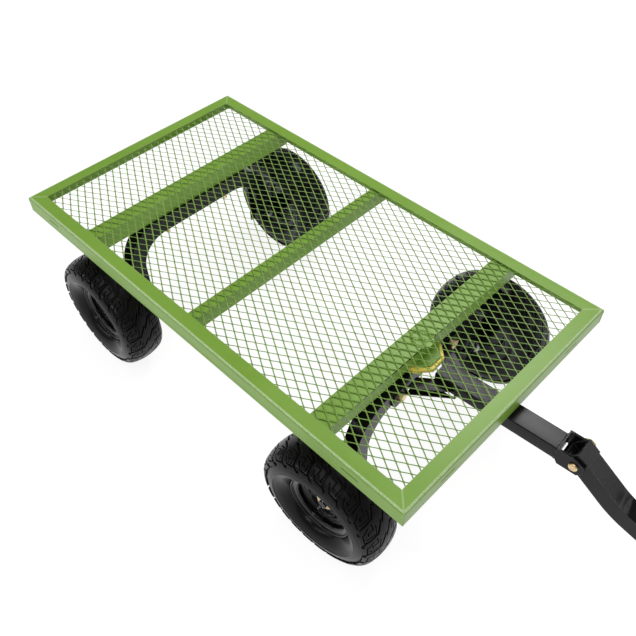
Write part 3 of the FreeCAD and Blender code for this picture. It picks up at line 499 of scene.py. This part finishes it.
def section(along):
    """Place on the tyre's outer section: distance from the middle plane, radius and slope."""
    across, radius = 0.0, TYRE_RADIUS
    for length, start, end in SECTION:
        step = min(along, length)
        slope = start + (end - start) * step / length
        bend = (end - start) / length
        across += (math.sin(slope) - math.sin(start)) / bend
        radius -= (math.cos(start) - math.cos(slope)) / bend
        along -= step
        if along <= 0:
            break
    return across, radius, slope


def reaches(face, start, along, length, half):
    """True if a flat face overlaps the straight groove."""
    across = Vector((-along.y, along.x, 0))
    spans = [((v.co - start).dot(along), (v.co - start).dot(across)) for v in face.verts]
    us, vs = [u for u, _ in spans], [v for _, v in spans]
    slack = 0.001
    lengthwise = min(us) < length + half - slack and max(us) > slack - half
    return lengthwise and min(vs) < half - slack and max(vs) > slack - half


def score(bm, start, end, width, cut):
    """Cuts the outline of one straight groove into flat rubber and collects the faces inside it."""
    half = width / 2
    along = (end - start).normalized()
    length = (end - start).length
    across = Vector((-along.y, along.x, 0))
    sides = ((start + across * half, across), (start - across * half, across),
             (start - along * half, along), (end + along * half, along))
    for point, normal in sides:
        near = [f for f in bm.faces if reaches(f, start, along, length, half)]
        if near:
            edges = {e for f in near for e in f.edges}
            verts = {v for f in near for v in f.verts}
            geom = near + list(edges) + list(verts)
            bmesh.ops.bisect_plane(bm, geom=geom, dist=1e-4, plane_co=point, plane_no=normal)
    for face in bm.faces:
        place = face.calc_center_median() - start
        if -half < place.dot(along) < length + half and abs(place.dot(across)) < half:
            face[cut] = 1


def points_of(geom):
    """The points among the parts that an operator returned."""
    return [part for part in geom if isinstance(part, bmesh.types.BMVert)]


def tread_blocks():
    """The tread's rubber blocks for half the tyre, flat: along X, from the middle out along Y."""
    bm = bmesh.new()
    cut = bm.faces.layers.int.new("cut")
    bmesh.ops.create_grid(bm, x_segments=4, y_segments=10, size=0.5)
    bmesh.ops.translate(bm, verts=bm.verts, vec=(0.5, 0.5, 0))
    bmesh.ops.scale(bm, verts=bm.verts, vec=(PITCH, TREAD, 1))
    for width, route in GROOVES:
        for shift in (-PITCH, 0.0, PITCH, 2 * PITCH):
            points = [Vector((along + shift, TREAD - inwards, 0)) for along, inwards in route]
            for start, end in zip(points, points[1:]):
                score(bm, start, end, width, cut)
    bmesh.ops.delete(bm, geom=[f for f in bm.faces if f[cut]], context="FACES")
    one = bm.verts[:] + bm.edges[:] + bm.faces[:]
    for turn in range(1, PITCHES):
        copy = bmesh.ops.duplicate(bm, geom=one)["geom"]
        bmesh.ops.translate(bm, verts=points_of(copy), vec=(turn * PITCH, 0, 0))
    bmesh.ops.remove_doubles(bm, verts=bm.verts, dist=0.01)
    raised = bmesh.ops.extrude_face_region(bm, geom=bm.faces[:], use_keep_orig=True)["geom"]
    bmesh.ops.translate(bm, verts=points_of(raised), vec=(0, 0, TREAD_DEPTH + ROOT))
    bmesh.ops.translate(bm, verts=bm.verts, vec=(0, 0, -TREAD_DEPTH - ROOT))
    around = PITCH * PITCHES
    first = [f for f in bm.faces if all(v.co.x < 0.01 for v in f.verts)]
    last = [f for f in bm.faces if all(v.co.x > around - 0.01 for v in f.verts)]
    bmesh.ops.delete(bm, geom=first + last, context="FACES")
    return bm


def wrap_tread(bm):
    """Bends the flat blocks round the tyre, and turns a copy to the other side."""
    for vert in bm.verts:
        along, out, height = vert.co
        across, radius, slope = section(out)
        angle = along / TYRE_RADIUS
        radius += height * math.cos(slope)
        across += height * math.sin(slope)
        vert.co = (radius * math.sin(angle), -across, radius * math.cos(angle))
    bmesh.ops.remove_doubles(bm, verts=bm.verts, dist=0.01)
    copy = bmesh.ops.duplicate(bm, geom=bm.verts[:] + bm.edges[:] + bm.faces[:])["geom"]
    half_turn = Matrix.Rotation(math.pi, 3, "Z")
    bmesh.ops.rotate(bm, verts=points_of(copy), cent=(0, 0, 0), matrix=half_turn)


def spun(bm, outline, steps):
    """Turns a closed outline of (along the axle, radius) into a ring."""
    corners = [bm.verts.new((0, across, radius)) for across, radius in outline]
    rim = [bm.edges.new(pair) for pair in zip(corners, corners[1:] + corners[:1])]
    bmesh.ops.spin(bm, geom=corners + rim, cent=(0, 0, 0), axis=(0, 1, 0), angle=2 * math.pi,
                   steps=steps, use_merge=True)


def softened(outline, radius):
    """A closed outline with each of its corners rounded off."""
    soft = []
    for index, corner in enumerate(outline):
        here = Vector(corner)
        before, after = Vector(outline[index - 1]), Vector(outline[(index + 1) % len(outline)])
        reach = min(radius, 0.45 * (before - here).length, 0.45 * (after - here).length)
        start = here + (before - here).normalized() * reach
        end = here + (after - here).normalized() * reach
        for step in (0.0, 0.33, 0.67, 1.0):
            bend = start.lerp(here, step).lerp(here.lerp(end, step), step)
            soft.append((bend.x, bend.y))
    return soft


def carcass_outline():
    """The tyre's casing: below the blocks under the tread, proud rings on the side wall, and its inside."""
    outer = []
    stations = [2.0 + 4.0 * i for i in range(12)]
    stations += [48.5, 50.5, 52, 56, 60, 64, 67, 67.6, 69.4, 70, 75, 80, 85, 90, 94, 97, 100, 102, 105]
    for along in stations:
        across, radius, slope = section(along)
        sunk = TREAD_DEPTH if along < 51 else SHOULDER_STEP * min(1.0, max(0.0, (67 - along) / 15))
        proud = 0.6 * (67.5 < along < 69.5)
        lift = proud - sunk
        outer.append((across + lift * math.sin(slope), radius + lift * math.cos(slope)))
    inner = []
    for along in (98, 92, 84, 74, 64, 52, 40, 26, 12):
        across, radius, slope = section(along)
        inner.append((across - CASING * math.sin(slope), radius - CASING * math.cos(slope)))
    right = outer + [(23.2, 61.0), (23.1, 56.6), (20.5, 55.0), (18.5, 58.0)] + inner
    return right + [(-across, radius) for across, radius in reversed(right)]


def make_tyre():
    bm = tread_blocks()
    wrap_tread(bm)
    spun(bm, carcass_outline(), 96)
    bmesh.ops.scale(bm, verts=bm.verts, vec=(MM, MM, MM))
    bmesh.ops.recalc_face_normals(bm, faces=bm.faces)
    return bm


def make_rim():
    """Pressed rim: rolled lips, bead seats, well and the disc that carries the hub."""
    bm = bmesh.new()
    seat = ((27.0, 62.6), (27.6, 65.3), (25.2, 65.3), (24.3, 61.5), (24.1, 57.5), (23.2, 53.4), (14.6, 52.6),
            (12.4, 50.6), (11.4, 46.4), (7.6, 45.2))
    dish = ((2.4, 39.4), (7.4, 41.6), (9.8, 43.8), (10.6, 48.8), (12.8, 50.8), (20.4, 51.2), (22.4, 53.0),
            (23.0, 58.0), (24.6, 62.2))
    front_disc = ((3.4, 20.2), (2.8, 21.6), (0.8, 24.6), (0.8, 35.6))
    seat_back = [(-across, radius) for across, radius in reversed(seat)]
    dish_back = [(-across, radius) for across, radius in reversed(dish)]
    outline = list(front_disc) + list(dish) + list(seat) + seat_back + dish_back
    outline += [(-1.6, 35.6), (-1.6, 20.2)]
    spun(bm, softened(outline, 1.6), 96)
    bmesh.ops.scale(bm, verts=bm.verts, vec=(MM, MM, MM))
    bmesh.ops.recalc_face_normals(bm, faces=bm.faces)
    return bm


def wheel_place(end, side):
    """From a wheel's own middle to its place on the cart."""
    turn = Matrix.Rotation(STEER if end == "front" else 0.0, 4, "Z")
    return Matrix.Translation(joints[f"wheel_{end}_{side}"]["pos_m"]) @ turn


def copied(mesh_maker, name, part, slot, sharp=SHARP):
    """The same wheel part at all four wheels."""
    for end, side in WHEELS:
        bm = mesh_maker()
        bmesh.ops.transform(bm, matrix=wheel_place(end, side), verts=bm.verts)
        piece(f"{name}_{end}_{side}", bm, f"wheel_{end}_{side}", slot, (f"{end}_{side}_{part}",), sharp)


tyre_shape = bpy.data.meshes.new("tyre_shape")
first_tyre = make_tyre()
first_tyre.to_mesh(tyre_shape)
first_tyre.free()


def tyre_copy():
    bm = bmesh.new()
    bm.from_mesh(tyre_shape)
    return bm


copied(tyre_copy, "tyre", "tyre", "tyre_rubber", math.radians(28))
copied(make_rim, "rim", "rim", "rim_paint", math.radians(50))
bpy.data.meshes.remove(tyre_shape)


# ---------------------------------------------------------------- expanded-metal bed

MESH_LONG = 30.6
MESH_SHORT = 17.8
STRAND = 2.3
STRAND_THICK = 1.05
STRAND_LEAN = math.radians(33)
BOND = 2.6


def bed_mesh():
    """The bed: zigzag strands that touch at bonds, each rising from one bond to the next."""
    low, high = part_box("deck_mesh")
    middle = (low + high) / 2 / MM
    half_long, row = MESH_LONG / 2, MESH_SHORT / 2
    bonds = int((high.x - low.x) / MM / half_long)
    rows = int((high.y - low.y) / MM / row)
    flat, drop = STRAND * math.cos(STRAND_LEAN), STRAND * math.sin(STRAND_LEAN)
    swing = (row - flat) / 2
    bm = bmesh.new()
    hand = random.Random(7)
    for index in range(rows):
        made = bmesh.ops.create_grid(bm, x_segments=2 * bonds - 1, y_segments=1, size=0.5)["verts"]
        faces = list({f for v in made for f in v.link_faces})
        top = bmesh.ops.extrude_face_region(bm, geom=faces, use_keep_orig=True)["geom"]
        raised = [g for g in top if isinstance(g, bmesh.types.BMVert)]
        bmesh.ops.translate(bm, verts=raised, vec=(0, 0, 1))
        sway = [hand.uniform(-0.10, 0.10) for _ in range(bonds)]
        for vert in made + raised:
            step = round((vert.co.x + 0.5) * (2 * bonds - 1))
            bond, past = divmod(step, 2)
            way = 1 if (bond + index) % 2 else -1
            x = (bond - (bonds - 1) / 2) * half_long + (BOND / 2 if past else -BOND / 2)
            y = (index - (rows - 1) / 2) * row + way * swing + sway[bond]
            y += vert.co.y * flat + (vert.co.z - 0.5) * STRAND_THICK * math.sin(STRAND_LEAN)
            z = drop * way / 2 - vert.co.y * drop + (vert.co.z - 0.5) * STRAND_THICK * math.cos(STRAND_LEAN)
            vert.co = (x + middle.x, y + middle.y, z + middle.z)
    bmesh.ops.scale(bm, verts=bm.verts, vec=(MM, MM, MM))
    bmesh.ops.recalc_face_normals(bm, faces=bm.faces)
    return bm


piece("bed_mesh", bed_mesh(), "deck", "green_mesh", ("deck_mesh",), math.radians(50))


# ---------------------------------------------------------------- frame, axles, drawbar and handle

EDGES = {
    "green_paint": 0.5, "black_paint": 0.6, "zinc_steel": 0.35, "bright_steel": 0.3,
    "yellow_plastic": 0.8, "grip_plastic": 2.0, "rim_paint": 0.5,
}
KEPT = ("inner_tube", "hub_bearings", "cotter_pins")
replaced = {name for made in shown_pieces() for name in made.get("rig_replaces", ())}
for name in sorted(set(nodes) - replaced):
    slot = nodes[name].data.materials[0].name
    # The spindles take the black coat instead of their own slot's finish, so the hub's middle is dark.
    if name.endswith("spindles"):
        refine(name, "black_paint", EDGES[slot])
    elif name.endswith(KEPT):
        nodes[name].data.materials[0] = FINISH[slot]
    else:
        refine(name, slot, EDGES[slot])


# ---------------------------------------------------------------- welds and pressed details

BEAD_STEP = 2.3
BEAD_SQUASH = 0.75


def weld(name, body, slot, runs, width):
    """Weld beads: overlapping flattened drops along straight runs, each run in metres."""
    bm = bmesh.new()
    fold = bm.verts.layers.float.new("fold")
    hand = random.Random(len(name))
    for start, end in runs:
        start, end = Vector(start), Vector(end)
        count = max(2, int((end - start).length / MM / BEAD_STEP))
        along = (end - start).normalized()
        turn = Vector((1, 0, 0)).rotation_difference(along).to_matrix().to_4x4()
        for index in range(count):
            place = start.lerp(end, (index + 0.5) / count)
            size = width * MM / 2 * hand.uniform(0.85, 1.15)
            shape = Matrix.Translation(place) @ turn @ Matrix.Diagonal((BEAD_SQUASH * size, size, size, 1))
            drop = bmesh.ops.create_uvsphere(bm, u_segments=8, v_segments=5, radius=1.0, matrix=shape)
            # Each bead gets a random share of the coat's lighter colour: partly wear, partly painted glints.
            lightening = hand.uniform(0.0, 0.9)
            for vert in drop["verts"]:
                vert[fold] = lightening
    return piece(name, bm, body, slot, sharp=math.pi)


def across_cart(x, y, z):
    """The same point on both sides of the cart."""
    return (x, y, z), (x, -y, z)


def steered(x, y, z):
    """From the steering frame, in millimetres, to the cart's, in metres."""
    pin = Vector(joints["steering"]["pos_m"])
    turned = Matrix.Rotation(STEER, 3, "Z") @ Vector((x * MM, y * MM, 0))
    return (pin.x + turned.x, pin.y + turned.y, z * MM)


def corner_runs():
    """Down the four outer corners of the deck."""
    side_low, side_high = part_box("deck_rail_right")
    start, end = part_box("deck_rail_rear")[0].x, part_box("deck_rail_front")[1].x
    low, high = side_low.z + 1 * MM, side_high.z - 4 * MM
    runs = []
    for x in (start + 0.7 * MM, end - 0.7 * MM):
        for side in (1, -1):
            y = side * side_low.y * 0.9975
            runs.append(((x, y, low), (x, y, high)))
    return runs


def member_runs():
    """Up the ends of the cross members, where they meet the rails."""
    runs = []
    for name in ("cross_member_rear", "cross_member_middle", "cross_member_front"):
        low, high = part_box(name)
        for x in (low.x - 0.4 * MM, high.x + 0.4 * MM):
            for side in (1, -1):
                y = side * (high.y - 0.8 * MM)
                runs.append(((x, y, low.z + 2 * MM), (x, y, high.z - 3 * MM)))
    return runs


TONGUE_END = 277.0
ARM_TIP = 90.4
TONGUE_SIDE = 19.4


def tongue_runs():
    """Round the tongue at its clevis, and up its sides where the arms meet it."""
    runs = [(steered(TONGUE_END, -16, 281.0), steered(TONGUE_END, 16, 281.0))]
    for side in (-TONGUE_SIDE, TONGUE_SIDE):
        runs.append((steered(TONGUE_END, side, 255), steered(TONGUE_END, side, 279)))
        runs.append((steered(ARM_TIP, side, 246), steered(ARM_TIP, side, 262)))
    return runs


weld("corner_welds", "deck", "green_paint", corner_runs(), 3.0)
weld("member_welds", "deck", "green_paint", member_runs(), 4.0)
weld("tongue_welds", "steering", "black_paint", tongue_runs(), 4.2)


def bolt_cap(name, body, slot, places, outline, turn):
    """Domed heads of the same outline, each facing along its turned axis."""
    bm = bmesh.new()
    for place in places:
        before = set(bm.verts)
        spun(bm, outline, 32)
        fresh = [v for v in bm.verts if v not in before]
        bmesh.ops.scale(bm, verts=fresh, vec=(MM, MM, MM))
        bmesh.ops.transform(bm, verts=fresh, matrix=Matrix.Translation(place) @ turn)
    bmesh.ops.remove_doubles(bm, verts=bm.verts, dist=1e-6)
    bmesh.ops.recalc_face_normals(bm, faces=bm.faces)
    return piece(name, bm, body, slot)


BOLT_ASIDE = 0.080
EAR_FACE = 27.0
DOME = ((-0.8, 0.02), (-0.8, 8.6), (0.3, 8.7), (0.8, 8.2), (1.6, 6.4), (2.2, 3.6), (2.4, 0.02))
BUTTON = ((-0.5, 0.02), (-0.5, 5.4), (0.5, 5.2), (0.9, 4.2), (0.7, 3.0), (0.2, 2.6), (0.2, 0.02))


def rear_bolt_domes():
    """Painted domes over the two bolts of the rear axle."""
    low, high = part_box("rear_axle_bolts")
    heads = across_cart((low.x + high.x) / 2, BOLT_ASIDE, high.z)
    upwards = Matrix.Rotation(math.radians(90), 4, "X")
    bolt_cap("rear_bolt_domes", "deck", "green_paint", heads, DOME, upwards)


def handle_bolt_button():
    """The pressed centre of the handle bolt's head, on the clevis' right side."""
    outwards = Vector((math.sin(STEER), -math.cos(STEER), 0))
    face = Vector(joints["handle"]["pos_m"]) + outwards * EAR_FACE * MM
    facing = Matrix.Rotation(STEER, 4, "Z") @ Matrix.Rotation(math.pi, 4, "Z")
    bolt_cap("handle_bolt_button", "steering", "zinc_steel", (face,), BUTTON, facing)


rear_bolt_domes()
handle_bolt_button()


# ---------------------------------------------------------------- stage, light and camera

def stage_plane(name, size, height):
    """A flat piece of the studio, which is not part of the cart."""
    bm = bmesh.new()
    bmesh.ops.create_grid(bm, x_segments=1, y_segments=1, size=size)
    bmesh.ops.translate(bm, verts=bm.verts, vec=(0, 0, height))
    mesh = bpy.data.meshes.new(name)
    bm.to_mesh(mesh)
    bm.free()
    made = bpy.data.objects.new(name, mesh)
    bpy.context.scene.collection.objects.link(made)
    return made


floor_paint, _, floor_shader = blank("studio_floor")
floor_shader.inputs["Base Color"].default_value = (0.22, 0.22, 0.22, 1)
floor_shader.inputs["Emission Color"].default_value = (1, 1, 1, 1)
floor_shader.inputs["Emission Strength"].default_value = 0.88
floor_shader.inputs["Roughness"].default_value = 0.9
floor_shader.inputs["Specular IOR Level"].default_value = 0.1
stage_plane("studio_floor", 40, 0.0).data.materials.append(floor_paint)


def lamp(name, place, aim, wide, high, power):
    """A soft rectangular studio light."""
    data = bpy.data.lights.new(name, "AREA")
    data.shape = "RECTANGLE"
    data.size, data.size_y, data.energy = wide, high, power
    made = bpy.data.objects.new(name, data)
    made.location = place
    made.rotation_euler = (Vector(aim) - Vector(place)).to_track_quat("-Z", "Y").to_euler()
    bpy.context.scene.collection.objects.link(made)


lamp("overhead_softbox", (0.0, -0.3, 3.2), (-0.3, 0.0, 0.2), 3.0, 3.0, 43)
lamp("key_softbox", (-0.75, 1.65, 2.6), (-0.3, 0.0, 0.2), 1.2, 0.8, 38)
lamp("rear_softbox", (-1.7, -2.4, 1.25), (-0.4, -0.2, 0.3), 2.8, 0.10, 15)
lamp("front_softbox", (1.7, 1.2, 0.9), (0.1, -0.1, 0.2), 0.9, 0.4, 3)
lamp("side_softbox", (0.45, -1.9, 1.25), (-0.3, -0.3, 0.12), 0.30, 0.20, 5)

world = bpy.data.worlds.new("studio_white")
world.use_nodes = True
sky = next(n for n in world.node_tree.nodes if n.type == "BACKGROUND")
sky.inputs["Color"].default_value = (1, 1, 1, 1)
backdrop = put(world.node_tree, "LightPath").outputs["Is Camera Ray"]
world.node_tree.links.new(spread(world.node_tree, backdrop, 0.20, 0.95), sky.inputs["Strength"])
bpy.context.scene.world = world
bpy.context.scene.view_settings.view_transform = "Standard"

camera_data = bpy.data.cameras.new("view")
camera_data.lens = 40.55
camera_data.sensor_width = 36.0
camera_data.clip_end = 100.0
camera = bpy.data.objects.new("view", camera_data)
camera.location = (0.3394, -0.6776, 1.2609)
camera.rotation_euler = Euler([math.radians(a) for a in (41.72, 0.80, 44.70)])
bpy.context.scene.collection.objects.link(camera)
bpy.context.scene.camera = camera
